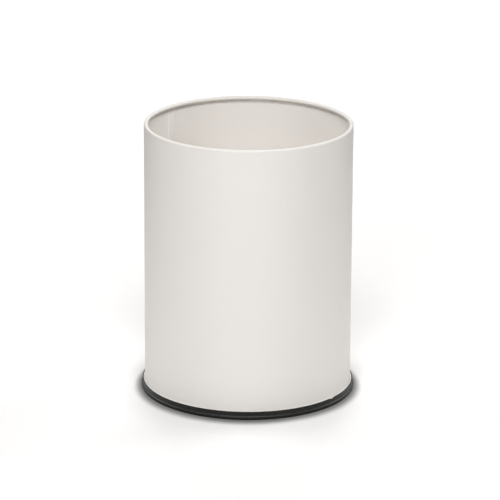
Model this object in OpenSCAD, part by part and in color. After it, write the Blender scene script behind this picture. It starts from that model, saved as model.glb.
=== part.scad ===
// Round office wastebasket: a rolled steel shell with a curled rim, a pressed steel base plate
// held by a folded double seam, and a soft ring of U section that grips the seam as the foot.
// The origin is on the floor, on the bin's axis. +Z is up, and the rim faces up.

/* [Bin] */
// Outer diameter of the wall
outer_d = 240; // [180:1:320]
// Height from the floor to the top of the rim
height = 317; // [200:1:420]
// Thickness of the steel sheet, shell and base alike
sheet_t = 0.5; // [0.4:0.05:0.8]

/* [Rim] */
// Diameter of the curled rim bead
bead_d = 4.8; // [3.6:0.1:7]
// Gap that the curl's cut edge leaves to the wall
curl_gap = 0.2; // [0.1:0.05:0.6]

/* [Side seam] */
// Width of the sheet's overlap inside the wall
lap_w = 9; // [6:0.5:16]
// Direction of the overlap, counted from +X towards +Y
lap_angle = 139; // [0:1:360]
// Distance that the overlap stops short of the rim bead and of the base panel
lap_end_gap = 1.5; // [0.5:0.1:4]
// Width of the fine groove where the overlap's outer edge lies
lap_groove_w = 0.5; // [0.3:0.1:1]
// Depth of that groove
lap_groove_depth = 0.15; // [0.05:0.05:0.25]

/* [Base seam] */
// Height of the folded seam
seam_h = 7.4; // [5:0.1:12]
// Clearance between the folded layers
seam_gap = 0.05; // [0.02:0.01:0.1]

/* [Base plate] */
// Height of the panel above the top of the folded seam
panel_rise = 3.15; // [2.5:0.05:20]
// Inner radius of the bend from the panel to its rim
panel_bend_r = 2; // [1:0.1:4]
// Distance of the stiffening bead's middle from the flat panel's edge
rib_inset = 33; // [10:1:45]
// Width of the stiffening bead
rib_w = 10; // [6:0.5:16]
// Height of the stiffening bead above the panel
rib_h = 1.6; // [0.8:0.1:2.4]

/* [Base ring] */
// Thickness of the ring under the seam
ring_web_t = 2.4; // [1.5:0.1:4]
// Height of the folded seam's rounded top that shows above the outer lip
seam_reveal = 0.45; // [0.2:0.05:1]
// Thickness of the outer lip
ring_lip_t = 1.1; // [0.8:0.1:2.5]
// Distance that the foot stands out beyond the lip
ring_foot_out = 1.1; // [0.5:0.1:3]
// Height of the foot, up to its shoulder
ring_foot_h = 4.2; // [3:0.1:6]
// Distance that the inner leg stops below the top of the seam
ring_leg_drop = 2.25; // [0.5:0.05:4]
// Thickness of the inner leg
ring_leg_t = 1.3; // [0.8:0.1:2.5]
// Clearance between the ring and the steel that it grips
ring_gap = 0.05; // [0.02:0.01:0.2]
// Radius on the ring's outer edges
ring_edge_r = 0.45; // [0.2:0.05:0.5]
// Direction of the joint between the ring's two ends, counted from +X towards +Y
joint_angle = -37; // [-180:1:180]
// Width of the joint
joint_w = 0.3; // [0.2:0.05:1]
// Width of the small notch at the top of the joint
joint_notch_w = 4; // [1:0.1:6]
// Depth of that notch
joint_notch_depth = 1.3; // [0.5:0.1:2]

/* [Hidden] */

// Sides of a round shape
$fn = 160;
// Sides of the small arcs in a section
ARC_FN = 48;
// Overshoot of a cutting shape past the face it cuts
OVER = 1;

wall_r = outer_d / 2;
bead_r = bead_d / 2;
bead_z = height - bead_r;
// The curl's cut edge, as an angle below the level of the curl's centre
curl_cut_angle = acos(1 - (sheet_t + curl_gap) / bead_r);

// Folded seam, layer by layer from the inside: base rim, wall, base hook, wall hook, base cover.
seam_z = ring_web_t + ring_gap;
seam_top_z = seam_z + seam_h;
fold_centre_r = wall_r + seam_gap + sheet_t / 2;
wall_fold_r = sheet_t / 2 + seam_gap;
base_fold_r = 1.5 * sheet_t + 2 * seam_gap;
fold_z = seam_z + base_fold_r + sheet_t;
hook_centre_r = wall_r + 2 * seam_gap + 1.5 * sheet_t;
hook_fold_r = sheet_t / 2 + seam_gap;
hook_z = seam_top_z - hook_fold_r - sheet_t;
base_rim_in = wall_r - 2 * sheet_t - seam_gap;
base_hook_in = wall_r + seam_gap;
wall_hook_in = base_hook_in + sheet_t + seam_gap;
base_cover_in = wall_hook_in + sheet_t + seam_gap;
seam_out = base_cover_in + sheet_t;

// Base panel
panel_z = seam_top_z + panel_rise;
panel_edge_r = base_rim_in - panel_bend_r;
panel_bend_z = panel_z - sheet_t - panel_bend_r;
rib_circle_r = panel_edge_r - rib_inset;
// Radius of the arc whose cap is the stiffening bead
rib_arc_r = (rib_w * rib_w / 4 + rib_h * rib_h) / (2 * rib_h);

// Ring
ring_lip_h = seam_top_z - seam_reveal;
ring_leg_h = seam_top_z - ring_leg_drop;
lip_in = seam_out + ring_gap;
lip_out = lip_in + ring_lip_t;
foot_out = lip_out + ring_foot_out;
leg_out = base_rim_in - ring_gap;
leg_in = leg_out - ring_leg_t;

// Rectangle of a section, from radius a to b and from height low to high
module block(a, b, low, high) {
    translate([a, low])
        square([b - a, high - low]);
}

// Half of a bent sheet: the lower half (side = -1) or the upper half (side = 1) of a fold
module half_fold(centre_r, centre_z, inner_r, side) {
    reach = inner_r + sheet_t;
    translate([centre_r, centre_z])
        intersection() {
            difference() {
                circle(r = reach, $fn = ARC_FN);
                circle(r = inner_r, $fn = ARC_FN);
            }
            translate([-reach - OVER, side > 0 ? 0 : -reach - OVER])
                square([2 * (reach + OVER), reach + OVER]);
        }
}

// Section of the hollow rim bead: a curl that leaves a gap between its cut edge and the wall
module curl_section() {
    translate([wall_r - bead_r, bead_z])
        difference() {
            circle(r = bead_r, $fn = ARC_FN);
            circle(r = bead_r - sheet_t, $fn = ARC_FN);
            polygon([
                [0, 0],
                [bead_d, 0],
                [bead_d, -bead_d * tan(curl_cut_angle)]
            ]);
        }
}

// Section of the shell, from the hook of the base seam to the rim bead
module shell_section() {
    block(wall_r - sheet_t, wall_r, fold_z, bead_z);
    half_fold(fold_centre_r, fold_z, wall_fold_r, -1);
    block(wall_hook_in, wall_hook_in + sheet_t, fold_z, hook_z);
    curl_section();
}

// Second layer of sheet where the shell's two edges overlap, sunk halfway into the first
module lap_strip() {
    lap_sweep = lap_w / wall_r * 180 / PI;
    rotate([0, 0, lap_angle - lap_sweep / 2])
        rotate_extrude(angle = lap_sweep)
            block(
                wall_r - 2 * sheet_t,
                wall_r - sheet_t / 2,
                panel_z + lap_end_gap,
                height - bead_d - lap_end_gap
            );
}

// Groove along the outer edge of the overlap
module lap_groove() {
    groove_z = seam_top_z + lap_end_gap;
    rotate([0, 0, lap_angle + lap_w / wall_r * 90 / PI])
        translate([wall_r - lap_groove_depth, -lap_groove_w / 2, groove_z])
            cube([OVER, lap_groove_w, bead_z - lap_end_gap - groove_z]);
}

module body_shell() {
    color("#ECE8E3")
        difference() {
            union() {
                rotate([0, 0, lap_angle])
                    rotate_extrude()
                        shell_section();
                lap_strip();
            }
            lap_groove();
        }
}

// Section of the pressed stiffening bead, which stands above the flat panel
module rib_section() {
    translate([rib_circle_r, panel_z + rib_h - rib_arc_r])
        intersection() {
            difference() {
                circle(r = rib_arc_r, $fn = 4 * ARC_FN);
                circle(r = rib_arc_r - sheet_t, $fn = 4 * ARC_FN);
            }
            translate([-rib_w / 2, rib_arc_r - rib_h - sheet_t])
                square([rib_w, rib_h + sheet_t]);
        }
}

// Section of the base plate, from its centre to the hook inside the seam
module plate_section() {
    block(0, rib_circle_r - rib_w / 2, panel_z - sheet_t, panel_z);
    rib_section();
    block(rib_circle_r + rib_w / 2, panel_edge_r, panel_z - sheet_t, panel_z);
    // Bend from the panel down to the rim
    translate([panel_edge_r, panel_bend_z])
        intersection() {
            difference() {
                circle(r = panel_bend_r + sheet_t, $fn = ARC_FN);
                circle(r = panel_bend_r, $fn = ARC_FN);
            }
            square(panel_bend_r + sheet_t + OVER);
        }
    block(base_rim_in, base_rim_in + sheet_t, fold_z, panel_bend_z);
    half_fold(fold_centre_r, fold_z, base_fold_r, -1);
    block(base_cover_in, base_cover_in + sheet_t, fold_z, hook_z);
    half_fold(hook_centre_r, hook_z, hook_fold_r, 1);
    block(base_hook_in, base_hook_in + sheet_t, fold_z, hook_z);
}

module base_plate() {
    color("#DEDAD5")
        rotate_extrude()
            plate_section();
}

// Rectangle of a section with its outer corners rounded by the radii given for the top and bottom
module rounded_block(a, b, low, high, top_r, low_r) {
    block(a, b, low + low_r, high - top_r);
    block(a, b - top_r, low + low_r, high);
    block(a, b - low_r, low, high - top_r);
    translate([b - top_r, high - top_r])
        circle(r = top_r, $fn = ARC_FN);
    translate([b - low_r, low + low_r])
        circle(r = low_r, $fn = ARC_FN);
}

// Section of the ring: lip, foot with a rounded shoulder, web under the seam, and inner leg
module ring_section() {
    rounded_block(lip_in, lip_out, 0, ring_lip_h, ring_edge_r, ring_edge_r);
    rounded_block(lip_in, foot_out, 0, ring_foot_h, ring_foot_out, ring_edge_r);
    block(leg_in, lip_out, 0, ring_web_t);
    block(leg_in, leg_out, 0, ring_leg_h);
}

// What is taken away where the ring's two ends meet: a thin gap with a notch in the lip above it
module ring_joint() {
    rotate([0, 0, joint_angle]) {
        translate([leg_in - OVER, -joint_w / 2, -OVER])
            cube([foot_out - leg_in + 2 * OVER, joint_w, ring_lip_h + 2 * OVER]);
        translate([lip_in - OVER / 2, 0, ring_lip_h - joint_notch_depth])
            rotate([90, 0, 90])
                linear_extrude(ring_lip_t + ring_foot_out + OVER)
                    polygon([
                        [0, 0],
                        [joint_notch_w / 2, joint_notch_depth + OVER],
                        [-joint_notch_w / 2, joint_notch_depth + OVER]
                    ]);
    }
}

module base_ring() {
    color("#2B2A2B")
        difference() {
            rotate_extrude()
                ring_section();
            ring_joint();
        }
}

body_shell();
base_plate();
base_ring();
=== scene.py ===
"""Round office wastebasket: the finished meshes, finishes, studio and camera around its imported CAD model.

The bin is three pieces: a rolled steel shell with a curled rim, a pressed steel base plate folded into
the shell's foot, and a soft black ring of U section that grips that fold. Each is drawn here as a flat
net, which one Geometry Nodes tree rolls round the bin's axis, as the real sheet is rolled.
"""

from __future__ import annotations

import logging
import math
from dataclasses import dataclass
from enum import Enum
from typing import Callable

import bmesh
import bpy
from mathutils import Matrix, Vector

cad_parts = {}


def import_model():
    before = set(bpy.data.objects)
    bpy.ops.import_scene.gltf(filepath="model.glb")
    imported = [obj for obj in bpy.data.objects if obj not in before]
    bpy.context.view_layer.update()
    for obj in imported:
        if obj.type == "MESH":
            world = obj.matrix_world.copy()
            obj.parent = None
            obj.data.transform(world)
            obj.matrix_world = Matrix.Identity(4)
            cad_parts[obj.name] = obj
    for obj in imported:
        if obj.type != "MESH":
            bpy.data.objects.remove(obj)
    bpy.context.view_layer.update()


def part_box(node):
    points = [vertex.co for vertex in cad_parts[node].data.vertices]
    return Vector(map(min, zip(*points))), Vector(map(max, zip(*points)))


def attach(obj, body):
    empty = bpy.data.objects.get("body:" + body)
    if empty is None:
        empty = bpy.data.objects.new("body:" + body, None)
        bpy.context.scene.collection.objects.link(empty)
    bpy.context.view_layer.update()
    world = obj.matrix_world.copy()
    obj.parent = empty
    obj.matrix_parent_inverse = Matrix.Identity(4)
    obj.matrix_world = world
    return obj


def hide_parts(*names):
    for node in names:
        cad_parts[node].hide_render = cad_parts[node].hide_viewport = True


LOG = logging.getLogger("wastebasket")

MM = 0.001
FULL_TURN = 2.0 * math.pi
SHARP_ANGLE = math.radians(38.0)
ROOT = "root"

Point = tuple[float, float]
Place = tuple[float, float, float]
Colour = tuple[float, float, float]
Warp = Callable[[float, float, float], Point]
Socket = bpy.types.NodeSocket


class Slot(Enum):
    """The record's material slots."""

    SHELL = "white_enamel"
    BASE = "base_enamel"
    RING = "black_pvc"


FRONT_TINT: Colour = (1.0, 0.99, 0.975)
BACK_TINT: Colour = (1.0, 0.985, 0.975)
SIDE_TINT: Colour = (1.0, 0.985, 0.96)


# --------------------------------------------------------------------------- sizes


@dataclass(frozen=True)
class BinSizes:
    """Sizes that the pieces share, in metres."""

    wall_r: float
    height: float
    seam_low: float
    seam_top: float
    panel_top: float
    ring_out: float
    ring_top: float
    sheet_t: float = 0.5 * MM
    seam_gap: float = 0.05 * MM
    bead_r: float = 2.4 * MM
    rib_h: float = 1.6 * MM
    lap_angle: float = math.radians(139.0)
    lap_w: float = 9.0 * MM
    joint_angle: float = math.radians(-37.0)

    @classmethod
    def from_frame(cls) -> BinSizes:
        """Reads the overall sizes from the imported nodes.

        Returns:
            The sizes, with the layers of the folded seam counted back from its outer face.
        """
        seam_reveal = 0.45 * MM
        _, shell_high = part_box("body_shell")
        plate_low, plate_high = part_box("base_plate")
        _, ring_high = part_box("base_ring")
        return cls(
            wall_r=plate_high.x - 3.0 * (cls.sheet_t + cls.seam_gap),
            height=shell_high.z,
            seam_low=plate_low.z,
            seam_top=ring_high.z + seam_reveal,
            panel_top=plate_high.z - cls.rib_h,
            ring_out=ring_high.x,
            ring_top=ring_high.z,
        )

    @property
    def bead_z(self) -> float:
        """Height of the rim curl's centre."""
        return self.height - self.bead_r

    @property
    def fold_r(self) -> float:
        """Radius at which the seam's lower folds turn."""
        return self.wall_r + self.seam_gap + self.sheet_t / 2.0

    @property
    def fold_z(self) -> float:
        """Height at which the seam's lower folds turn."""
        return self.seam_low + 2.5 * self.sheet_t + 2.0 * self.seam_gap

    @property
    def hook_r(self) -> float:
        """Radius at which the seam's upper fold turns."""
        return self.wall_r + 2.0 * self.seam_gap + 1.5 * self.sheet_t

    @property
    def hook_z(self) -> float:
        """Height at which the seam's upper fold turns."""
        return self.seam_top - 1.5 * self.sheet_t - self.seam_gap

    @property
    def seam_out(self) -> float:
        """Outer radius of the folded seam."""
        return self.wall_r + 3.0 * (self.sheet_t + self.seam_gap)

    @property
    def base_rim_mid(self) -> float:
        """Radius of the middle of the base plate's rim, inside the wall."""
        return self.wall_r - self.seam_gap - 1.5 * self.sheet_t


# --------------------------------------------------------------------------- sections


class Section:
    """A line drawn in the section plane, as radius against height."""

    def __init__(self, radius: float, height: float) -> None:
        """Starts the line.

        Args:
            radius: Radius of the first point.
            height: Height of the first point.
        """
        self.points: list[Point] = [(radius, height)]

    def to(self, radius: float, height: float, steps: int = 1) -> Section:
        """Draws a straight stretch.

        Args:
            radius: Radius of its end.
            height: Height of its end.
            steps: Number of equal steps.

        Returns:
            The section itself, so that stretches chain.
        """
        r0, z0 = self.points[-1]
        for i in range(1, steps + 1):
            share = i / steps
            self.points.append((r0 + (radius - r0) * share, z0 + (height - z0) * share))
        return self

    def arc(self, centre: Point, radius: float, first: float, last: float, steps: int) -> Section:
        """Draws a circular stretch.

        Args:
            centre: Centre of the arc.
            radius: Its radius.
            first: Angle at which it starts, in degrees from the outward direction.
            last: Angle at which it ends.
            steps: Number of equal steps.

        Returns:
            The section itself.
        """
        for i in range(steps + 1):
            angle = math.radians(first + (last - first) * i / steps)
            point = (centre[0] + radius * math.cos(angle), centre[1] + radius * math.sin(angle))
            if math.dist(point, self.points[-1]) > 1e-6:
                self.points.append(point)
        return self

    def normals(self) -> list[Point]:
        """Works out the unit normals at the points.

        Returns:
            The normals, to the left of the drawing direction.
        """
        steps = [
            Vector((b[0] - a[0], b[1] - a[1])).normalized()
            for a, b in zip(self.points, self.points[1:])
        ]
        found = []
        for i in range(len(self.points)):
            along = (steps[max(i - 1, 0)] + steps[min(i, len(steps) - 1)]).normalized()
            found.append((-along.y, along.x))
        return found

    def thicken(self, thickness: float, round_start: bool = True) -> list[Point]:
        """Gives the line a sheet's thickness.

        Args:
            thickness: Thickness of the sheet.
            round_start: Whether the first end gets a rounded edge, as the last end does.

        Returns:
            The outline: along the left side, round the last end, and back along the right side.
        """
        half = thickness / 2.0
        pairs = list(zip(self.points, self.normals()))
        left = [(p[0] + n[0] * half, p[1] + n[1] * half) for p, n in pairs]
        right = [(p[0] - n[0] * half, p[1] - n[1] * half) for p, n in pairs]
        outline = left + cap(self.points[-1], pairs[-1][1], half, 1.0) + right[::-1]
        if round_start:
            outline += cap(self.points[0], pairs[0][1], half, -1.0)
        return outline


def cap(centre: Point, normal: Point, half: float, way: float) -> list[Point]:
    """The rounded cut edge at one end of a sheet.

    Args:
        centre: Middle of the sheet at that end.
        normal: Normal of the sheet there.
        half: Half of its thickness.
        way: 1 at the last end, and -1 at the first.

    Returns:
        The points between the two sides, without the sides' own ends.
    """
    steps = 4
    start = math.atan2(normal[1] * way, normal[0] * way)
    angles = [start - math.pi * i / steps for i in range(1, steps)]
    return [(centre[0] + half * math.cos(a), centre[1] + half * math.sin(a)) for a in angles]


# --------------------------------------------------------------------------- node trees


class Tree:
    """Adds and links the nodes of one node tree."""

    def __init__(self, tree: bpy.types.NodeTree) -> None:
        """Wraps a tree.

        Args:
            tree: The tree to fill.
        """
        self.tree = tree
        self.count = 0

    def add(self, kind: str, feeds: dict | None = None, **settings: object) -> bpy.types.Node:
        """Adds a node.

        Args:
            kind: The node's type name.
            feeds: Input names or numbers to a value, or to the socket that feeds them.
            **settings: Properties of the node.

        Returns:
            The new node.
        """
        node = self.tree.nodes.new(kind)
        node.location = (200.0 * (self.count % 12), -260.0 * (self.count // 12))
        self.count += 1
        for name, value in settings.items():
            setattr(node, name, value)
        self.feed(node, feeds or {})
        return node

    def feed(self, node: bpy.types.Node, values: dict) -> None:
        """Sets or links a node's inputs.

        Args:
            node: The node.
            values: Input names or numbers to a value, or to the socket that feeds them.
        """
        for key, value in values.items():
            if isinstance(value, bpy.types.NodeSocket):
                self.tree.links.new(value, node.inputs[key])
            else:
                node.inputs[key].default_value = value

    def group(self, group: bpy.types.NodeTree, feeds: dict) -> bpy.types.Node:
        """Places a shared group, and feeds it."""
        return self.add("ShaderNodeGroup", feeds, node_tree=group)

    def math(self, operation: str, *terms: object) -> Socket:
        """Adds a Math node.

        Args:
            operation: Its operation.
            *terms: Numbers or sockets.

        Returns:
            Its result.
        """
        return self.add("ShaderNodeMath", dict(enumerate(terms)), operation=operation).outputs[0]

    def ramp(self, value: object, source: tuple, target: tuple = (0.0, 1.0), **settings: object) -> Socket:
        """Adds a Map Range node.

        Args:
            value: Socket with the value.
            source: The two ends of the range that it comes from, as numbers or sockets.
            target: The two ends of the range that it goes to.
            **settings: Properties of the node.

        Returns:
            Its result.
        """
        names = ("Value", "From Min", "From Max", "To Min", "To Max")
        feeds = dict(zip(names, (value, *source, *target)))
        return self.add("ShaderNodeMapRange", feeds, **settings).outputs[0]

    def noise(self, place: object, scale: object, detail: float, rough: float = 0.5) -> Socket:
        """Adds a Noise Texture node.

        Args:
            place: Socket with the point.
            scale: Number of its features per metre.
            detail: Number of its finer layers.
            rough: Strength of the finer layers.

        Returns:
            Its value.
        """
        feeds = {"Vector": place, "Scale": scale, "Detail": detail, "Roughness": rough}
        return self.add("ShaderNodeTexNoise", feeds).outputs["Fac"]


def socket_type(sample: object) -> str:
    """Type of socket for a default value, or for a kind of socket given by name."""
    kinds = {float: "Float", int: "Int", tuple: "Color"}
    return "NodeSocket" + kinds.get(type(sample), sample)


def new_group(name: str, kind: str, inputs: dict, outputs: dict) -> tuple[Tree, dict, bpy.types.Node]:
    """Makes a node group with named sockets.

    Args:
        name: Name of the group.
        kind: "GeometryNodeTree" or "ShaderNodeTree".
        inputs: Input names to a default, or to the kind of a socket that has none.
        outputs: Output names to the kind of socket.

    Returns:
        The tree, its input sockets by name, and its output node.
    """
    group = bpy.data.node_groups.new(name, kind)
    for label, sample in inputs.items():
        made = group.interface.new_socket(label, in_out="INPUT", socket_type=socket_type(sample))
        if not isinstance(sample, str):
            made.default_value = sample
    for label, sample in outputs.items():
        group.interface.new_socket(label, in_out="OUTPUT", socket_type=socket_type(sample))
    tree = Tree(group)
    entry = tree.add("NodeGroupInput")
    return tree, {label: entry.outputs[label] for label in inputs}, tree.add("NodeGroupOutput")


def close_geometry(tree: Tree, exit_node: bpy.types.Node, made: object, finish: object) -> None:
    """Ends a geometry tree: instances become real, and the finish is set.

    Args:
        tree: The tree.
        exit_node: Its output node.
        made: Socket with the geometry.
        finish: Socket with the material.
    """
    real = tree.add("GeometryNodeRealizeInstances", {0: made})
    dressed = tree.add("GeometryNodeSetMaterial", {"Geometry": real.outputs[0], "Material": finish})
    tree.feed(exit_node, {0: dressed.outputs[0]})


def roll_tree() -> bpy.types.NodeTree:
    """The tree that rolls a flat net round the Z axis.

    In the net, X runs along the sheet, Y is the height above the rolling radius, and Z is up.

    Returns:
        The tree, with the rolling radius, the start angle and the finish as inputs.
    """
    tree, sockets, exit_node = new_group(
        "roll_round_axis",
        "GeometryNodeTree",
        {
            "Net": "Geometry",
            "Radius": 0.1,
            "Start angle": 0.0,
            "Weld distance": 0.004 * MM,
            "Finish": "Material",
        },
        {"Piece": "Geometry"},
    )
    place = tree.add("GeometryNodeInputPosition").outputs[0]
    flat = tree.add("ShaderNodeSeparateXYZ", {0: place})
    turn = tree.math("DIVIDE", flat.outputs["X"], sockets["Radius"])
    angle = tree.math("ADD", turn, sockets["Start angle"])
    reach = tree.math("ADD", flat.outputs["Y"], sockets["Radius"])
    across = tree.math("MULTIPLY", reach, tree.math("COSINE", angle))
    along = tree.math("MULTIPLY", reach, tree.math("SINE", angle))
    rolled = tree.add("ShaderNodeCombineXYZ", {"X": across, "Y": along, "Z": flat.outputs["Z"]})
    moved = tree.add(
        "GeometryNodeSetPosition", {"Geometry": sockets["Net"], "Position": rolled.outputs[0]}
    )
    welded = tree.add(
        "GeometryNodeMergeByDistance",
        {"Geometry": moved.outputs[0], "Distance": sockets["Weld distance"]},
    )
    close_geometry(tree, exit_node, welded.outputs[0], sockets["Finish"])
    return tree.tree


def row_tree() -> bpy.types.NodeTree:
    """The tree that repeats a small shape up a vertical row.

    Returns:
        The tree, with the number of copies, the pitch and the finish as inputs.
    """
    tree, sockets, exit_node = new_group(
        "upright_row",
        "GeometryNodeTree",
        {"Shape": "Geometry", "Copies": 2, "Pitch": 10.0 * MM, "Finish": "Material"},
        {"Row": "Geometry"},
    )
    step = tree.add("ShaderNodeCombineXYZ", {"Z": sockets["Pitch"]})
    line = tree.add(
        "GeometryNodeMeshLine",
        {"Count": sockets["Copies"], "Start Location": (0.0, 0.0, 0.0), "Offset": step.outputs[0]},
    )
    copies = tree.add(
        "GeometryNodeInstanceOnPoints", {"Points": line.outputs[0], "Instance": sockets["Shape"]}
    )
    close_geometry(tree, exit_node, copies.outputs[0], sockets["Finish"])
    return tree.tree


# --------------------------------------------------------------------------- mesh helpers


def even_shares(count: int) -> list[float]:
    """Shares from 0 to 1 at even steps, both ends included."""
    return [i / count for i in range(count + 1)]


def even_stations(count: int) -> list[float]:
    """Angles at even steps of a full turn, both ends included."""
    return [FULL_TURN * i / count for i in range(count + 1)]


def flat_net(
    name: str,
    outline: list[Point],
    stations: list[float],
    radius: float,
    closed: bool = True,
    warp: Warp | None = None,
) -> bpy.types.Object:
    """Lays a section's outline out along a flat net.

    Args:
        name: Name of the object.
        outline: The section, as radius against height.
        stations: Angles at which the section stands.
        radius: Rolling radius.
        closed: Whether the outline's last point joins its first.
        warp: Shift of radius and height at an angle, a radius and a height.

    Returns:
        The net's object, linked to the scene.
    """
    shift = warp or (lambda angle, r, z: (0.0, 0.0))
    points = []
    for angle in stations:
        for r, z in outline:
            dr, dz = shift(angle, r, z)
            points.append((angle * radius, r + dr - radius, z + dz))
    width = len(outline)
    columns = width if closed else width - 1
    faces = []
    for i in range(len(stations) - 1):
        for j in range(columns):
            a, b = i * width + j, i * width + (j + 1) % width
            faces.append((a, b, b + width, a + width))
    return mesh_object(name, points, faces)


def mesh_object(name: str, points: list, faces: list) -> bpy.types.Object:
    """Makes a linked mesh object.

    Args:
        name: Name of the object and of its mesh.
        points: Its vertices.
        faces: Its faces.

    Returns:
        The object.
    """
    mesh = bpy.data.meshes.new(name)
    mesh.from_pydata(points, [], faces)
    made = bpy.data.objects.new(name, mesh)
    bpy.context.scene.collection.objects.link(made)
    return made


def run_tree(piece: bpy.types.Object, tree: bpy.types.NodeTree, values: dict) -> None:
    """Runs a geometry tree on a piece and keeps the result as its plain mesh.

    Args:
        piece: The piece that holds the tree's input mesh.
        tree: The tree.
        values: Input names to values.
    """
    modifier = piece.modifiers.new(tree.name, "NODES")
    modifier.node_group = tree
    keys = {
        item.name: item.identifier
        for item in tree.interface.items_tree
        if item.item_type == "SOCKET" and item.in_out == "INPUT"
    }
    for name, value in values.items():
        modifier[keys[name]] = value
    graph = bpy.context.evaluated_depsgraph_get()
    result = bpy.data.meshes.new_from_object(piece.evaluated_get(graph), depsgraph=graph)
    piece.modifiers.remove(modifier)
    old = piece.data
    piece.data = result
    bpy.data.meshes.remove(old)
    result.name = piece.name
    close_and_smooth(result)


def close_and_smooth(mesh: bpy.types.Mesh) -> None:
    """Closes open ends, points the faces outwards and marks the sharp edges.

    Args:
        mesh: The mesh.
    """
    work = bmesh.new()
    work.from_mesh(mesh)
    bmesh.ops.holes_fill(work, edges=[e for e in work.edges if e.is_boundary], sides=0)
    bmesh.ops.recalc_face_normals(work, faces=work.faces)
    for face in work.faces:
        face.smooth = True
    for edge in work.edges:
        edge.smooth = edge.calc_face_angle(0.0) < SHARP_ANGLE
    work.to_mesh(mesh)
    work.free()


def settle(piece: bpy.types.Object, node: str | None) -> None:
    """Ties a finished piece to the frame.

    Args:
        piece: The piece.
        node: CAD node that it stands for, if any.
    """
    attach(piece, ROOT)
    if node:
        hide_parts(node)
    LOG.info("%s: %d faces", piece.name, len(piece.data.polygons))


def fade(distance: float, width: float) -> float:
    """A smooth bell, 1 at no distance and 0 from width on.

    Args:
        distance: Distance from the middle, of either sign.
        width: Half width of the bell.

    Returns:
        Its height.
    """
    share = min(abs(distance) / width, 1.0)
    return 0.5 + 0.5 * math.cos(math.pi * share)


# --------------------------------------------------------------------------- shader groups


def surface_point(tree: Tree) -> Socket:
    """The shaded point in the piece's own space."""
    return tree.add("ShaderNodeTexCoord").outputs["Object"]


def round_axis(tree: Tree, place: object) -> tuple[Socket, Socket]:
    """Splits a point into its distance from the Z axis and its height.

    Args:
        tree: The tree.
        place: Socket with the point.

    Returns:
        The distance and the height.
    """
    parts = tree.add("ShaderNodeSeparateXYZ", {0: place})
    flat = tree.add("ShaderNodeCombineXYZ", {"X": parts.outputs["X"], "Y": parts.outputs["Y"]})
    reach = tree.add("ShaderNodeVectorMath", {0: flat.outputs[0]}, operation="LENGTH")
    return reach.outputs["Value"], parts.outputs["Z"]


def mix_colour(tree: Tree, share: object, under: object, over: object) -> Socket:
    """Lays one colour over another.

    Args:
        tree: The tree.
        share: Socket with the share of the upper colour.
        under: The lower colour, as a socket.
        over: The upper colour, as a socket or as four numbers.

    Returns:
        The mixed colour.
    """
    return tree.add("ShaderNodeMix", {"Factor": share, 6: under, 7: over}, data_type="RGBA").outputs[2]


def peel_group() -> bpy.types.NodeTree:
    """Fine relief of a sprayed or moulded skin: two sizes of soft grain added up.

    Returns:
        The group, with the grain's size as an input and a height as its output.
    """
    tree, sockets, exit_node = new_group(
        "skin_grain",
        "ShaderNodeTree",
        {"Place": "Vector", "Grains per metre": 700.0, "Fine share": 0.3},
        {"Height": "Float"},
    )
    finer_by = 3.7
    coarse = tree.noise(sockets["Place"], sockets["Grains per metre"], 1.0)
    finer = tree.math("MULTIPLY", sockets["Grains per metre"], finer_by)
    fine = tree.noise(sockets["Place"], finer, 2.0)
    added = tree.math("MULTIPLY_ADD", fine, sockets["Fine share"], coarse)
    tree.feed(exit_node, {"Height": added})
    return tree.tree


def drift_group() -> bpy.types.NodeTree:
    """Slow drift of a finish's tone over the surface.

    Returns:
        The group, which mixes two tones and puts out the colour and the mask.
    """
    tree, sockets, exit_node = new_group(
        "tone_drift",
        "ShaderNodeTree",
        {
            "Place": "Vector",
            "Patches per metre": 12.0,
            "Tone": (0.8, 0.8, 0.8, 1.0),
            "Other tone": (0.7, 0.7, 0.7, 1.0),
        },
        {"Colour": "Color", "Mask": "Float"},
    )
    cloud = tree.noise(sockets["Place"], sockets["Patches per metre"], 4.0)
    mask = tree.ramp(cloud, (0.3, 0.7))
    mixed = mix_colour(tree, mask, sockets["Tone"], sockets["Other tone"])
    tree.feed(exit_node, {"Colour": mixed, "Mask": mask})
    return tree.tree


def band_group() -> bpy.types.NodeTree:
    """A soft mask between two heights, broken up by noise: painted shade under the shell's rim curl, a
    darker band round the base, and dust with a painted highlight on the ring's shoulder.

    Returns:
        The group, with the band's middle, half width and distances from the axis as inputs and a
        mask as its output.
    """
    tree, sockets, exit_node = new_group(
        "soft_height_band",
        "ShaderNodeTree",
        {
            "Place": "Vector",
            "Middle": 0.0,
            "Half width": 5.0 * MM,
            "Breaks per metre": 160.0,
            "Cover": 0.5,
            "Inner limit": 0.0,
            "Outer limit": 10.0,
        },
        {"Mask": "Float"},
    )
    reach, up = round_axis(tree, sockets["Place"])
    beyond = tree.math("GREATER_THAN", reach, sockets["Inner limit"])
    short = tree.math("LESS_THAN", reach, sockets["Outer limit"])
    within = tree.math("MULTIPLY", beyond, short)
    off = tree.math("ABSOLUTE", tree.math("SUBTRACT", up, sockets["Middle"]))
    inside = tree.math("SUBTRACT", 1.0, tree.math("DIVIDE", off, sockets["Half width"]))
    clamped = tree.add("ShaderNodeClamp", {"Value": inside}).outputs[0]
    spots = tree.noise(sockets["Place"], sockets["Breaks per metre"], 5.0, 0.7)
    broken = tree.ramp(spots, (tree.math("SUBTRACT", 1.0, sockets["Cover"]), 1.0))
    mask = tree.math("MULTIPLY", tree.math("MULTIPLY", clamped, broken), within)
    tree.feed(exit_node, {"Mask": mask})
    return tree.tree


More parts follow.
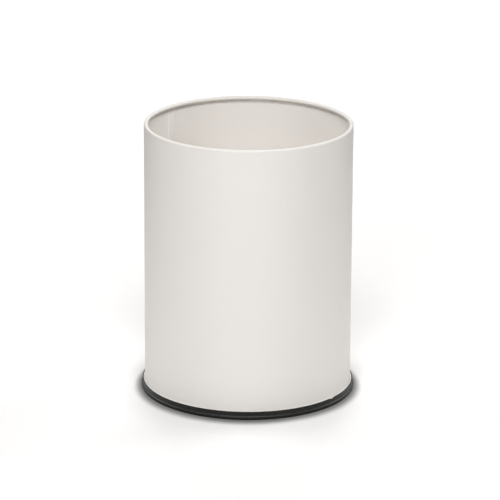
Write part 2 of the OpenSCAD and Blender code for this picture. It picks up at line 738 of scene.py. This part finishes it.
def scuff_group() -> bpy.types.NodeTree:
    """Sparse fine scuffs, drawn out in two directions.

    Returns:
        The group, with the scuffs' number and reach as inputs and a mask as its output.
    """
    tree, sockets, exit_node = new_group(
        "fine_scuffs",
        "ShaderNodeTree",
        {"Place": "Vector", "Scuffs per metre": 900.0, "Least height": 0.68},
        {"Mask": "Float"},
    )
    fade_in = 0.06
    masks = []
    for turn in (math.radians(23.0), math.radians(-61.0)):
        drawn = tree.add(
            "ShaderNodeMapping",
            {"Vector": sockets["Place"], "Rotation": (0.2, 0.1, turn), "Scale": (1.0, 0.05, 0.3)},
        )
        streaks = tree.noise(drawn.outputs[0], sockets["Scuffs per metre"], 1.0)
        top = tree.math("ADD", sockets["Least height"], fade_in)
        masks.append(tree.ramp(streaks, (sockets["Least height"], top)))
    tree.feed(exit_node, {"Mask": tree.math("MAXIMUM", *masks)})
    return tree.tree


@dataclass(frozen=True)
class Effects:
    """The shader groups that the finishes share."""

    grain: bpy.types.NodeTree
    drift: bpy.types.NodeTree
    band: bpy.types.NodeTree
    scuff: bpy.types.NodeTree

    @classmethod
    def build(cls) -> Effects:
        """Builds each group once."""
        return cls(peel_group(), drift_group(), band_group(), scuff_group())

    def drifting(
        self, tree: Tree, place: object, patches: float, tone: Colour, other: Colour
    ) -> bpy.types.Node:
        """Places the drift between two tones.

        Args:
            tree: The material's tree.
            place: The shaded point.
            patches: Number of its patches per metre.
            tone: One tone.
            other: The other tone.

        Returns:
            The group's node.
        """
        feeds = {"Place": place, "Patches per metre": patches}
        feeds |= {"Tone": (*tone, 1.0), "Other tone": (*other, 1.0)}
        return tree.group(self.drift, feeds)


# --------------------------------------------------------------------------- finishes


@dataclass(frozen=True)
class Enamel:
    """Satin powder coat on sheet steel."""

    name: str
    tone: Colour
    other_tone: Colour
    # Darker band between two heights: on the shell it is painted shade on the inner wall under the rim
    # curl; on the base it is a darker band round the plate's bend.
    dark_band: Colour
    dark_band_height: float
    dark_band_half: float
    dark_band_reach: tuple[float, float]
    dark_band_cover: float
    scuff_tone: Colour
    scuff_share: float
    grains: float = 620.0
    grain_depth: float = 0.03 * MM
    roughness: tuple[float, float] = (0.46, 0.54)
    dark_band_dulling: float = 0.2
    scuff_depth: float = 0.6

    def build(self, effects: Effects) -> bpy.types.Material:
        """Builds the material.

        Args:
            effects: The shared groups.

        Returns:
            The material.
        """
        material, tree, shader = new_material(self.name)
        place = surface_point(tree)
        drift = effects.drifting(tree, place, 14.0, self.tone, self.other_tone)
        # Mask of the darker band: painted shade under the rim curl on the shell, a darker band round the
        # bend on the base.
        dark_band = tree.group(
            effects.band,
            {
                "Place": place,
                "Middle": self.dark_band_height,
                "Half width": self.dark_band_half,
                "Breaks per metre": 130.0,
                "Cover": self.dark_band_cover,
                "Inner limit": self.dark_band_reach[0],
                "Outer limit": self.dark_band_reach[1],
            },
        ).outputs["Mask"]
        scuff = tree.group(effects.scuff, {"Place": place, "Scuffs per metre": 800.0})
        worn = tree.math("MULTIPLY", scuff.outputs["Mask"], self.scuff_share)
        darkened = mix_colour(tree, dark_band, drift.outputs["Colour"], (*self.dark_band, 1.0))
        colour = mix_colour(tree, worn, darkened, (*self.scuff_tone, 1.0))
        gloss = tree.ramp(drift.outputs["Mask"], (0.0, 1.0), self.roughness)
        dulled = tree.math("MULTIPLY_ADD", dark_band, self.dark_band_dulling, gloss)
        grain = tree.group(
            effects.grain, {"Place": place, "Grains per metre": self.grains, "Fine share": 0.25}
        )
        scored = tree.math("MULTIPLY_ADD", worn, -self.scuff_depth, grain.outputs["Height"])
        bump = tree.add("ShaderNodeBump", {"Height": scored, "Distance": self.grain_depth})
        tree.feed(
            shader,
            {
                "Base Color": colour,
                "Roughness": dulled,
                "Normal": bump.outputs[0],
                "IOR": 1.5,
                "Specular IOR Level": 0.3,
                "Coat Weight": 0.05,
                "Coat Roughness": 0.35,
            },
        )
        return material


@dataclass(frozen=True)
class SoftPvc:
    """Black soft PVC, extruded, with a low sheen."""

    name: str
    tone: Colour
    other_tone: Colour
    # Lighter band on the foot's shoulder: partly dust and partly a painted highlight on its ridge.
    dust_and_highlight: Colour
    dust_and_highlight_height: float
    dust_and_highlight_half: float
    die_lines_per_metre: float = 2400.0
    grains: float = 1500.0
    grain_depth: float = 0.03 * MM
    roughness: tuple[float, float] = (0.36, 0.5)

    def build(self, effects: Effects) -> bpy.types.Material:
        """Builds the material.

        Args:
            effects: The shared groups.

        Returns:
            The material.
        """
        material, tree, shader = new_material(self.name)
        place = surface_point(tree)
        drift = effects.drifting(tree, place, 45.0, self.tone, self.other_tone)
        # Lighter band on the shoulder: dust, and a painted highlight on the ridge.
        dust_and_highlight_mask = tree.group(
            effects.band,
            {
                "Place": place,
                "Middle": self.dust_and_highlight_height,
                "Half width": self.dust_and_highlight_half,
                "Breaks per metre": 420.0,
                "Cover": 0.8,
            },
        )
        dust_and_highlight = (*self.dust_and_highlight, 1.0)
        colour = mix_colour(tree, dust_and_highlight_mask.outputs["Mask"], drift.outputs["Colour"], dust_and_highlight)
        gloss = tree.ramp(drift.outputs["Mask"], (0.0, 1.0), self.roughness)
        height = tree.math("ADD", self.die_lines(tree, place), self.grain(tree, place, effects))
        bump = tree.add("ShaderNodeBump", {"Height": height, "Distance": self.grain_depth})
        tree.feed(
            shader,
            {
                "Base Color": colour,
                "Roughness": gloss,
                "Normal": bump.outputs[0],
                "IOR": 1.5,
                "Specular IOR Level": 0.32,
                "Sheen Weight": 0.04,
                "Sheen Roughness": 0.5,
            },
        )
        return material

    def grain(self, tree: Tree, place: object, effects: Effects) -> Socket:
        """Height of the moulded skin's grain, at half strength.

        Args:
            tree: The material's tree.
            place: The shaded point.
            effects: The shared groups.

        Returns:
            The height.
        """
        feeds = {"Place": place, "Grains per metre": self.grains, "Fine share": 0.5}
        return tree.math("MULTIPLY", tree.group(effects.grain, feeds).outputs["Height"], 0.5)

    def die_lines(self, tree: Tree, place: object) -> Socket:
        """Height of the fine lines that the extrusion die leaves along the profile.

        Args:
            tree: The material's tree.
            place: The shaded point.

        Returns:
            The height, which follows the point's height and its distance from the axis only.
        """
        lines = tree.add(
            "ShaderNodeTexNoise",
            {
                "W": tree.math("ADD", *round_axis(tree, place)),
                "Scale": self.die_lines_per_metre,
                "Detail": 2.0,
            },
            noise_dimensions="1D",
        )
        return lines.outputs["Fac"]


def new_material(name: str) -> tuple[bpy.types.Material, Tree, bpy.types.Node]:
    """Makes a material with a plain Principled shader.

    Args:
        name: Name of the material.

    Returns:
        The material, its tree and its shader.
    """
    material = bpy.data.materials.new(name)
    material.use_nodes = True
    material.node_tree.nodes.clear()
    tree = Tree(material.node_tree)
    exit_node = tree.add("ShaderNodeOutputMaterial")
    shader = tree.add("ShaderNodeBsdfPrincipled")
    tree.feed(exit_node, {"Surface": shader.outputs[0]})
    return material, tree, shader


# --------------------------------------------------------------------------- pieces


@dataclass
class Shell:
    """The rolled wall with its rim curl, its side lap and the lap's weld spots."""

    sizes: BinSizes
    curl_cut: float = 45.0
    curl_tuck: float = 0.12 * MM
    turns: int = 256
    groove_w: float = 0.5 * MM
    groove_depth: float = 0.14 * MM
    lap_end_gap: float = 1.5 * MM
    lap_edge_r: float = 0.2 * MM
    joggle_w: float = 3.0 * MM
    weld_r: float = 2.1 * MM
    weld_h: float = 0.12 * MM
    weld_pitch: float = 28.0 * MM

    def section(self) -> list[Point]:
        """Draws the sheet's section.

        Returns:
            Its outline, from the hook in the base seam to the cut edge of the curl.
        """
        s = self.sizes
        half = s.sheet_t / 2.0
        line = Section(s.fold_r + s.sheet_t + s.seam_gap, s.hook_z)
        line.to(s.fold_r + s.sheet_t + s.seam_gap, s.fold_z)
        line.arc((s.fold_r, s.fold_z), s.sheet_t + s.seam_gap, 0.0, -180.0, 10)
        line.to(s.wall_r - half, s.seam_top + self.lap_end_gap, 2)
        line.to(s.wall_r - half, s.bead_z - self.lap_end_gap, 30)
        line.to(s.wall_r - half, s.bead_z)
        centre = (s.wall_r - s.bead_r, s.bead_z)
        last = 360.0 - self.curl_cut
        steps = 40
        for i in range(1, steps + 1):
            turn = last * i / steps
            reach = s.bead_r - half - self.curl_tuck * (turn / last) ** 2
            line.arc(centre, reach, turn, turn, 1)
        return line.thicken(s.sheet_t)

    def stations(self) -> list[float]:
        """Places the net's columns.

        Returns:
            Their angles, finer where the outer edge of the lap lies.
        """
        edge = self.edge_angle()
        step = self.groove_w / self.sizes.wall_r
        fine = [edge + step * share for share in (-3.0, -1.0, -0.5, -0.35, 0.0, 0.35, 0.5, 1.0, 3.0)]
        coarse = [a for a in even_stations(self.turns) if abs(a - edge) > 4.0 * step]
        return sorted(coarse + fine)

    def edge_angle(self) -> float:
        """Direction of the lap's outer edge."""
        return self.sizes.lap_angle + self.sizes.lap_w / 2.0 / self.sizes.wall_r

    def groove(self, angle: float, r: float, z: float) -> Point:
        """Dip of the outer skin along the lap's outer edge.

        Args:
            angle: Direction of the point.
            r: Its radius.
            z: Its height.

        Returns:
            The shift of radius and height.
        """
        s = self.sizes
        skin = r > s.wall_r - s.sheet_t / 4.0
        span = s.seam_top + self.lap_end_gap < z < s.bead_z - self.lap_end_gap
        off = abs(angle - self.edge_angle()) * s.wall_r
        if not (skin and span) or off > self.groove_w * 0.45:
            return 0.0, 0.0
        return -self.groove_depth, 0.0

    def build_wall(self, roll: bpy.types.NodeTree, finish: bpy.types.Material) -> bpy.types.Object:
        """Builds the wall.

        Args:
            roll: The rolling tree.
            finish: Its finish.

        Returns:
            The piece.
        """
        s = self.sizes
        piece = flat_net("shell_wall", self.section(), self.stations(), s.wall_r, warp=self.groove)
        run_tree(piece, roll, {"Radius": s.wall_r, "Start angle": 0.0, "Finish": finish})
        return piece

    def build_lap(self, roll: bpy.types.NodeTree, finish: bpy.types.Material) -> bpy.types.Object:
        """Builds the tongue of sheet that lies inside the wall at the side lap.

        One long edge is the sheet's free edge, and the other runs into the wall, where the sheet
        is set back by its own thickness.

        Args:
            roll: The rolling tree.
            finish: Its finish.

        Returns:
            The piece.
        """
        s = self.sizes
        inner = s.wall_r - s.sheet_t
        root = inner + 0.3 * s.sheet_t
        low = s.panel_top + self.lap_end_gap
        high = s.height - 2.0 * s.bead_r - self.lap_end_gap
        half, edge = s.lap_w / 2.0, self.lap_edge_r
        joggle = even_shares(8)
        across = [-half - self.joggle_w + self.joggle_w * share for share in joggle]
        lift = [0.5 - 0.5 * math.cos(math.pi * share) for share in joggle]
        across += [0.0] + [half - edge * share for share in (1.0, 0.5, 0.15, 0.0)]
        lift += [1.0, 1.0, 0.85, 0.5, 0.0]
        upright = [low, low + 0.5 * edge, low + edge, (low + high) / 2.0]
        upright += [high - edge, high - 0.5 * edge, high]
        taper = [0.0, 0.8, 1.0, 1.0, 1.0, 0.8, 0.0]
        points = [
            (-x, inner - s.sheet_t * up * share - s.wall_r, z)
            for x, up in zip(across, lift)
            for z, share in zip(upright, taper)
        ]
        rows, width = len(across), len(upright)
        faces = [
            (i * width + j, i * width + j + 1, (i + 1) * width + j + 1, (i + 1) * width + j)
            for i in range(rows - 1)
            for j in range(width - 1)
        ]
        back = len(points)
        rim = [i * width for i in range(rows)]
        rim += [(rows - 1) * width + j for j in range(1, width)]
        rim += [i * width + width - 1 for i in range(rows - 2, -1, -1)]
        rim += [j for j in range(width - 2, 0, -1)]
        points += [(points[k][0], root - s.wall_r, points[k][2]) for k in rim]
        count = len(rim)
        faces += [
            (rim[k], rim[(k + 1) % count], back + (k + 1) % count, back + k) for k in range(count)
        ]
        piece = mesh_object("shell_side_lap", points, faces)
        values = {"Radius": s.wall_r, "Start angle": s.lap_angle, "Finish": finish}
        run_tree(piece, roll, values)
        return piece

    def build_welds(self, row: bpy.types.NodeTree, finish: bpy.types.Material) -> bpy.types.Object:
        """Builds the row of spot welds up the lap, each a shallow dish with a raised edge.

        Args:
            row: The repeating tree.
            finish: Its finish.

        Returns:
            The piece.
        """
        s = self.sizes
        face_r = s.wall_r - 2.0 * s.sheet_t
        low = s.panel_top + self.weld_pitch
        count = int((s.bead_z - self.weld_pitch / 2.0 - low) / self.weld_pitch) + 1
        profile = [(0.0, 0.3), (0.35, 0.35), (0.6, 0.8), (0.75, 1.0), (0.9, 0.75), (1.0, -0.6)]
        sides = 24
        inward = Vector((-math.cos(s.lap_angle), -math.sin(s.lap_angle), 0.0))
        side = Vector((-inward.y, inward.x, 0.0))
        middle = Vector((0.0, 0.0, low)) - inward * face_r
        points = [middle + inward * profile[0][1] * self.weld_h]
        for share, up in profile[1:]:
            for i in range(sides):
                turn = FULL_TURN * i / sides
                ring = side * math.cos(turn) + Vector((0.0, 0.0, math.sin(turn)))
                points.append(middle + ring * share * self.weld_r + inward * up * self.weld_h)
        faces = [(0, 1 + i, 1 + (i + 1) % sides) for i in range(sides)]
        for j in range(len(profile) - 2):
            first = 1 + j * sides
            for i in range(sides):
                k = (i + 1) % sides
                faces.append((first + i, first + sides + i, first + sides + k, first + k))
        piece = mesh_object("shell_lap_welds", points, faces)
        values = {"Copies": count, "Pitch": self.weld_pitch, "Finish": finish}
        run_tree(piece, row, values)
        return piece

    def build(
        self, roll: bpy.types.NodeTree, row: bpy.types.NodeTree, finish: bpy.types.Material
    ) -> None:
        """Builds and settles the shell's pieces.

        Args:
            roll: The rolling tree.
            row: The repeating tree.
            finish: Their finish.
        """
        settle(self.build_wall(roll, finish), "body_shell")
        settle(self.build_lap(roll, finish), None)
        settle(self.build_welds(row, finish), None)


@dataclass
class BasePlate:
    """The pressed floor of the bin, from its crowned panel to its hook in the seam."""

    sizes: BinSizes
    bend_r: float = 2.0 * MM
    rib_inset: float = 33.0 * MM
    rib_half: float = 5.0 * MM
    crown: float = 0.5 * MM
    turns: int = 240

    def section(self) -> list[Point]:
        """Draws the sheet's section.

        Returns:
            Its outline, open at the axis.
        """
        s = self.sizes
        half = s.sheet_t / 2.0
        rim = s.base_rim_mid
        edge = rim - half - self.bend_r
        rib = edge - self.rib_inset
        level = s.panel_top - half
        line = Section(0.0, level + self.crown)
        dome = rib - self.rib_half
        for i in range(1, 17):
            r = dome * i / 16.0
            line.to(r, level + self.crown * fade(r, dome))
        for i in range(-9, 10):
            off = self.rib_half * i / 10.0
            line.to(rib + off, level + s.rib_h * fade(off, self.rib_half))
        line.to(rib + self.rib_half, level)
        line.to(edge, level, 6)
        line.arc((edge, level - self.bend_r - half), self.bend_r + half, 90.0, 0.0, 10)
        line.to(rim, s.fold_z, 2)
        line.arc((s.fold_r, s.fold_z), s.fold_r - rim, 180.0, 360.0, 14)
        line.to(s.seam_out - half, s.hook_z, 2)
        line.arc((s.hook_r, s.hook_z), s.sheet_t + s.seam_gap, 0.0, 180.0, 12)
        line.to(s.wall_r + s.seam_gap + half, s.fold_z)
        return line.thicken(s.sheet_t, round_start=False)

    def build(self, roll: bpy.types.NodeTree, finish: bpy.types.Material) -> None:
        """Builds and settles the plate.

        Args:
            roll: The rolling tree.
            finish: Its finish.
        """
        s = self.sizes
        stations = even_stations(self.turns)
        piece = flat_net("base_plate_pressed", self.section(), stations, s.wall_r, closed=False)
        run_tree(piece, roll, {"Radius": s.wall_r, "Start angle": 0.0, "Finish": finish})
        settle(piece, "base_plate")


@dataclass
class FootRing:
    """The extruded ring that grips the seam, cut to length and butt-jointed."""

    sizes: BinSizes
    gap: float = 0.05 * MM
    lip_t: float = 1.1 * MM
    foot_out: float = 1.1 * MM
    foot_h: float = 4.2 * MM
    leg_t: float = 1.3 * MM
    leg_h: float = 7.6 * MM
    edge_r: float = 0.45 * MM
    joint_w: float = 0.3 * MM
    dip_depth: float = 1.3 * MM
    dip_w: float = 6.0 * MM
    turns: int = 260

    def section(self) -> list[Point]:
        """Draws the extruded profile.

        Returns:
            Its closed outline.
        """
        s = self.sizes
        lip_in = s.seam_out + self.gap
        lip_out = lip_in + self.lip_t
        foot = lip_out + self.foot_out
        leg_out = s.base_rim_mid - s.sheet_t / 2.0 - self.gap
        leg_in = leg_out - self.leg_t
        web = s.seam_low - self.gap
        e = self.edge_r
        tip = self.leg_t / 2.0
        fillet = 0.3 * MM
        line = Section(leg_in + e, 0.0)
        line.to(foot - e, 0.0, 4)
        line.arc((foot - e, e), e, -90.0, 0.0, 5)
        line.arc((foot - self.foot_out, self.foot_h - self.foot_out), self.foot_out, 0.0, 78.0, 8)
        line.arc((lip_out + fillet, self.foot_h + fillet), fillet, 258.0, 180.0, 4)
        line.to(lip_out, s.ring_top - e, 3)
        line.arc((lip_out - e, s.ring_top - e), e, 0.0, 90.0, 5)
        line.arc((lip_in + e / 2.0, s.ring_top - e / 2.0), e / 2.0, 90.0, 180.0, 3)
        line.to(lip_in, web)
        line.to(leg_out, web)
        line.to(leg_out, self.leg_h - tip)
        line.arc((leg_out - tip, self.leg_h - tip), tip, 0.0, 180.0, 8)
        line.to(leg_in, e)
        line.arc((leg_in + e, e), e, 180.0, 270.0, 5)
        return line.points[:-1]

    def joint_dip(self, angle: float, r: float, z: float) -> Point:
        """Shrinkage of the lip at the joint.

        Args:
            angle: Direction of the point, counted from the joint's first face.
            r: Its radius.
            z: Its height.

        Returns:
            The shift of radius and height.
        """
        s = self.sizes
        off = min(angle, FULL_TURN - angle) * s.wall_r
        share = max(z - self.foot_h, 0.0) / (s.ring_top - self.foot_h)
        lip = share if r > s.wall_r else 0.0
        return 0.0, -self.dip_depth * lip * fade(off, self.dip_w)

    def stations(self) -> list[float]:
        """Places the net's columns.

        Returns:
            Their angles, counted from the joint and finer next to it.
        """
        s = self.sizes
        first = self.joint_w / 2.0 / s.wall_r
        near = [first + self.dip_w / s.wall_r * i / 8.0 for i in range(9)]
        middle = [a for a in even_stations(self.turns) if near[-1] < a < FULL_TURN - near[-1]]
        return near + middle + [FULL_TURN - a for a in reversed(near)]

    def build(self, roll: bpy.types.NodeTree, finish: bpy.types.Material) -> None:
        """Builds and settles the ring.

        Args:
            roll: The rolling tree.
            finish: Its finish.
        """
        s = self.sizes
        piece = flat_net(
            "foot_ring", self.section(), self.stations(), s.wall_r, warp=self.joint_dip
        )
        values = {"Radius": s.wall_r, "Start angle": s.joint_angle, "Finish": finish}
        run_tree(piece, roll, values)
        settle(piece, "base_ring")


# --------------------------------------------------------------------------- studio


@dataclass(frozen=True)
class SoftBox:
    """One square area light, aimed at a point."""

    name: str
    place: Place
    side: float
    power: float
    colour: Colour = (1.0, 1.0, 1.0)
    aim: Place = (0.0, 0.0, 0.15)
    mirrored: bool = True

    def build(self) -> None:
        """Adds the light to the scene."""
        light = bpy.data.lights.new(self.name, "AREA")
        light.shape = "SQUARE"
        light.size = self.side
        light.energy = self.power
        light.color = self.colour
        made = bpy.data.objects.new(self.name, light)
        made.location = self.place
        made.rotation_euler = (Vector(self.aim) - Vector(self.place)).to_track_quat("-Z", "Y").to_euler()
        made.visible_camera = False
        made.visible_glossy = self.mirrored
        bpy.context.scene.collection.objects.link(made)


@dataclass
class Studio:
    """Round white table, soft lights, a white backdrop and the camera.

    The table's paint is a little darker close round the bin's foot, which deepens the shadow there.
    """

    table_r: float = 1.1
    table_tone: float = 0.98
    foot_r: float = 0.124
    shade: float = 0.3
    shade_w: float = 0.011
    front_shade_w: float = 0.017
    shade_shift: float = 0.003
    wide_shade: float = 0.91
    wide_shade_w: float = 0.05
    backdrop: float = 1.05
    camera_place: Place = (0.0022, -3.539, 1.289)
    camera_tilt: float = 17.64
    camera_roll: float = 0.3
    lens: float = 230.9
    boxes: tuple[SoftBox, ...] = (
        SoftBox("key_box", (0.0, 0.4, 2.6), 0.4, 5.5, aim=(0.0, 0.4, 0.0)),
        SoftBox("right_front_box", (0.9, -3.3, 1.9), 1.2, 11.0, FRONT_TINT),
        SoftBox("left_front_box", (-0.9, -3.3, 1.9), 1.2, 31.0, FRONT_TINT),
        SoftBox("near_box", (0.0, -0.9, 1.35), 0.5, 11.7, aim=(0.0, 0.0, 0.2)),
        SoftBox("back_box", (0.0, 3.2, 1.8), 1.8, 71.0, BACK_TINT, mirrored=False),
        SoftBox("right_fill", (2.6, 1.6, 1.8), 1.4, 45.0, SIDE_TINT),
        SoftBox("left_fill", (-2.6, 1.6, 1.8), 1.4, 33.0, SIDE_TINT),
    )

    def build_table(self) -> None:
        """Adds the table top that the bin stands on."""
        sides = 180
        rim = [
            (self.table_r * math.cos(turn), self.table_r * math.sin(turn), 0.0)
            for turn in even_stations(sides)[:-1]
        ]
        table = mesh_object("table_top", rim, [tuple(range(sides))])
        material, tree, shader = new_material("table_paint")
        tree.feed(shader, {"Base Color": self.table_colour(tree), "Roughness": 0.9})
        tree.feed(shader, {"Specular IOR Level": 0.1})
        table.data.materials.append(material)

    def table_colour(self, tree: Tree) -> Socket:
        """Colour of the table's paint, darker close round the foot and wider at the front.

        Args:
            tree: The paint's tree.

        Returns:
            The colour.
        """
        shift = (0.0, self.shade_shift, 0.0)
        place = tree.add("ShaderNodeVectorMath", {0: surface_point(tree), 1: shift}).outputs[0]
        far = tree.add("ShaderNodeVectorMath", {0: place}, operation="LENGTH").outputs["Value"]
        front = tree.add("ShaderNodeSeparateXYZ", {0: place}).outputs["Y"]
        reaches = (self.foot_r + self.front_shade_w, self.foot_r + self.shade_w)
        reach = tree.ramp(front, (-self.foot_r, 0.0), reaches)
        near = tree.ramp(
            far, (self.foot_r, reach), (self.shade, 1.0), interpolation_type="SMOOTHSTEP"
        )
        wide = tree.ramp(
            far, (self.foot_r, self.foot_r + self.wide_shade_w), (self.wide_shade, 1.0)
        )
        both = tree.math("MULTIPLY", near, wide)
        tone = (self.table_tone, self.table_tone, self.table_tone)
        return tree.add("ShaderNodeVectorMath", {0: tone, "Scale": both}, operation="SCALE").outputs[0]

    def build_surround(self) -> None:
        """Sets a plain white backdrop that gives no light of its own."""
        world = bpy.data.worlds.new("studio")
        world.use_nodes = True
        world.node_tree.nodes.clear()
        tree = Tree(world.node_tree)
        room = tree.add("ShaderNodeBackground", {"Strength": 0.0}, name="room")
        backdrop = tree.add("ShaderNodeBackground", {"Strength": self.backdrop}, name="backdrop")
        for part in (room, backdrop):
            part.inputs["Color"].default_value = (1.0, 1.0, 1.0, 1.0)
        seen = tree.add("ShaderNodeLightPath").outputs["Is Camera Ray"]
        mixed = tree.add("ShaderNodeMixShader", {0: seen, 1: room.outputs[0], 2: backdrop.outputs[0]})
        tree.add("ShaderNodeOutputWorld", {"Surface": mixed.outputs[0]})
        bpy.context.scene.world = world
        bpy.context.scene.view_settings.view_transform = "Standard"

    def build_camera(self) -> None:
        """Adds the camera, above the floor on the bin's front side."""
        lens = bpy.data.cameras.new("camera")
        lens.lens = self.lens
        lens.sensor_width = 36.0
        lens.clip_end = 100.0
        camera = bpy.data.objects.new("camera", lens)
        camera.location = self.camera_place
        camera.rotation_mode = "ZXY"
        camera.rotation_euler = (
            math.radians(90.0 - self.camera_tilt),
            0.0,
            math.radians(self.camera_roll),
        )
        bpy.context.scene.collection.objects.link(camera)
        bpy.context.scene.camera = camera

    def build(self) -> None:
        """Sets up the studio."""
        self.build_table()
        self.build_surround()
        for box in self.boxes:
            box.build()
        self.build_camera()


# --------------------------------------------------------------------------- main


def main() -> None:
    logging.basicConfig(level=logging.INFO, format="%(name)s: %(message)s")
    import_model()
    sizes = BinSizes.from_frame()
    effects = Effects.build()
    roll, row = roll_tree(), row_tree()
    shell_finish = Enamel(
        name="white_enamel",
        tone=(0.852, 0.822, 0.79),
        other_tone=(0.842, 0.812, 0.78),
        # Painted shade: a darker band on the inner wall just under the rim curl.
        dark_band=(0.37, 0.348, 0.332),
        dark_band_height=sizes.height - 2.0 * sizes.bead_r - 2.9 * MM,
        dark_band_half=2.3 * MM,
        dark_band_reach=(sizes.wall_r - 2.2 * sizes.sheet_t, sizes.wall_r - 0.5 * sizes.sheet_t),
        dark_band_cover=1.0,
        scuff_tone=(0.80, 0.78, 0.76),
        scuff_share=0.25,
    ).build(effects)
    base_finish = Enamel(
        name="base_enamel",
        tone=(0.88, 0.862, 0.838),
        other_tone=(0.86, 0.84, 0.815),
        # A darker band, broken up by noise, round the plate's bend below the panel.
        dark_band=(0.58, 0.55, 0.51),
        dark_band_height=sizes.panel_top - 2.2 * MM,
        dark_band_half=2.4 * MM,
        dark_band_reach=(0.0, sizes.wall_r),
        dark_band_cover=0.75,
        scuff_tone=(0.70, 0.68, 0.65),
        scuff_share=0.6,
        roughness=(0.5, 0.6),
    ).build(effects)
    ring_finish = SoftPvc(
        name="black_pvc",
        tone=(0.0105, 0.0105, 0.009),
        other_tone=(0.015, 0.015, 0.013),
        # Dust and a painted highlight on the foot's shoulder ridge.
        dust_and_highlight=(0.12, 0.12, 0.112),
        dust_and_highlight_height=3.8 * MM,
        dust_and_highlight_half=1.1 * MM,
    ).build(effects)
    Shell(sizes).build(roll, row, shell_finish)
    BasePlate(sizes).build(roll, base_finish)
    FootRing(sizes).build(roll, ring_finish)
    Studio().build()


if __name__ == "__main__":
    main()
